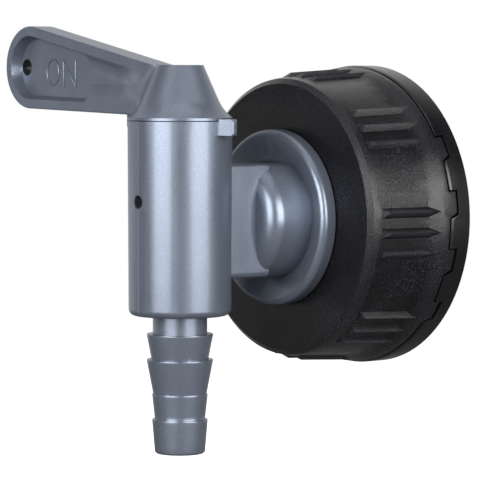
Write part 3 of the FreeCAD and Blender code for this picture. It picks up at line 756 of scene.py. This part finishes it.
# Seals of black rubber: the flat ones under the flange and the lock nut, the O-rings on the plug and
# the nozzle, and the saddle that shuts the port. Each is moulded, with a matt skin, a bloom of pale
# dust and eased edges.
rubber, given, result = group(
    "rubber_skin",
    {"Color": (0.02, 0.02, 0.02, 1), "Dust Color": (0.16, 0.155, 0.15, 1), "Dust": 0.3, "Pits": 5200.0},
    ("Color", "Roughness", "Height"),
)
place = put(rubber, "ShaderNodeTexCoord").outputs["Object"]
bloom = noise(rubber, place, scale=420.0, detail=4.0, roughness=0.65)
dusty = calc(rubber, "MULTIPLY", fade(rubber, bloom, start=0.45, end=0.75), given["Dust"])
rough = fade(rubber, bloom, start=0.3, end=0.7, low=0.5, high=0.72)
rubber.links.new(blend(rubber, dusty, given["Color"], given["Dust Color"]), result["Color"])
rubber.links.new(rough, result["Roughness"])
rubber.links.new(noise(rubber, place, scale=given["Pits"], detail=3.0), result["Height"])


def soft(name, kind, depth, specular):
    """Rubber or foam: its skin from a node group, with a weak gloss."""
    finish, tree, shader = finish_of(name)
    coat = place_group(tree, kind, {})
    connect(tree, shader, coat["Color"], coat["Roughness"], bump(tree, coat["Height"], depth))
    shader.inputs["Specular IOR Level"].default_value = specular
    return finish


seal_rubber = soft("seal_rubber", rubber, depth=8e-6, specular=0.35)
for node, edge in (
    ("flange_gasket", 0.0003),
    ("nut_washer", 0.0003),
    ("nozzle_o_ring", 0.0002),
    ("upper_o_ring", 0.0002),
    ("lower_o_ring", 0.0002),
    ("port_seal", 0.00012),
):
    seal = moulding(node, edge)
    seal.data.materials.append(seal_rubber)

# Neck gasket: a ring of pale closed-cell foam, punched from sheet, in the cap for the rim of the
# canister's neck. Its skin is pitted with cells, and pressing has darkened it in patches.
foam, given, result = group(
    "foam_cells",
    {"Color": (0.62, 0.62, 0.6, 1), "Shade Color": (0.36, 0.36, 0.35, 1), "Cells": 2600.0, "Shade": 0.5},
    ("Color", "Roughness", "Height"),
)
place = put(foam, "ShaderNodeTexCoord").outputs["Object"]
cells = put(foam, "ShaderNodeTexVoronoi", {"Vector": place, "Scale": given["Cells"]}).outputs["Distance"]
marks = noise(foam, place, scale=240.0, detail=3.0)
walls = fade(foam, cells, start=0.15, end=0.7)
pressed = calc(foam, "MULTIPLY", fade(foam, marks, start=0.4, end=0.7), 0.35)
dark = calc(foam, "MULTIPLY", calc(foam, "MAXIMUM", walls, pressed), given["Shade"])
rough = fade(foam, marks, start=0.3, end=0.7, low=0.62, high=0.8)
foam.links.new(blend(foam, dark, given["Color"], given["Shade Color"]), result["Color"])
foam.links.new(rough, result["Roughness"])
foam.links.new(calc(foam, "SUBTRACT", 1.0, cells), result["Height"])
gasket = moulding("neck_gasket", edge=0.00035)
gasket.data.materials.append(soft("gasket_foam", foam, depth=6e-5, specular=0.25))

# Valve plug: turned by the lever, moulded in hard natural plastic that looks like weak milk. The square
# on its top goes into the lever and the hollow below leads the water down into the nozzle.
natural = {
    "Color": (0.66, 0.64, 0.57, 1),
    "Pale Color": (0.8, 0.79, 0.75, 1),
    "Grain": 5200.0,
    "Sand": 0.2,
    "Glints": 0.1,
    "Scuffs": 0.25,
    "Clouds": 0.16,
    "Roughness": 0.3,
}
plug = moulding("valve_plug", edge=0.00015)
plug.data.materials.append(plastic("plug_natural", natural, depth=4e-6))

# Thrust washer and snap ring: white slippery plastic. The washer lies on the plug's shoulder, and the
# split ring springs into the barrel's groove above it and keeps the plug down.
white_plastic = dict(natural, Color=(0.74, 0.74, 0.72, 1), Roughness=0.24, Clouds=0.08)
ring_white = plastic("ring_white", white_plastic, depth=3e-6)
for node in ("thrust_washer", "snap_ring"):
    keeper = moulding(node, edge=0.00012)
    keeper.data.materials.append(ring_white)

# Lever screw: a slotted pan-head screw of stainless steel, turned on a lathe, which draws the lever
# down on the plug. Fine rings from the tool run round its head, and its shank is threaded.
steel_dark = (0.5, 0.49, 0.47, 1)
steel_bright = (0.68, 0.67, 0.65, 1)
tool_rings = 52000.0
tool_share = 0.35
tool_relief = 3e-6
shank_thread = {"Pitch": 0.0006, "Low": 0.02, "High": 0.0331, "Inner": 0.001, "Outer": 0.0018}
screw = moulding("lever_screw", edge=0.00008)
steel, tree, shader = finish_of("screw_steel")
place = put(tree, "ShaderNodeTexCoord").outputs["Object"]
centring = put(tree, "ShaderNodeMapping", {"Vector": place, "Location": (0, -valve_axis_y, 0)})
centred = centring.outputs["Vector"]
flat = put(tree, "ShaderNodeVectorMath", {0: centred, 1: (1, 1, 0)}, operation="MULTIPLY").outputs["Vector"]
radius = put(tree, "ShaderNodeVectorMath", {0: flat}, operation="LENGTH").outputs["Value"]
rings = calc(tree, "SINE", calc(tree, "MULTIPLY", radius, tool_rings))
smear = noise(tree, place, scale=900.0, detail=3.0)
turned = bump(tree, calc(tree, "ADD", calc(tree, "MULTIPLY", rings, tool_share), smear), tool_relief)
normal = cut_thread(tree, centred, shank_thread, turned)
tint = blend(tree, smear, steel_dark, steel_bright)
rough = fade(tree, smear, start=0.3, end=0.7, low=0.22, high=0.36)
connect(tree, shader, tint, rough, normal)
shader.inputs["Metallic"].default_value = 1.0
screw.data.materials.append(steel)
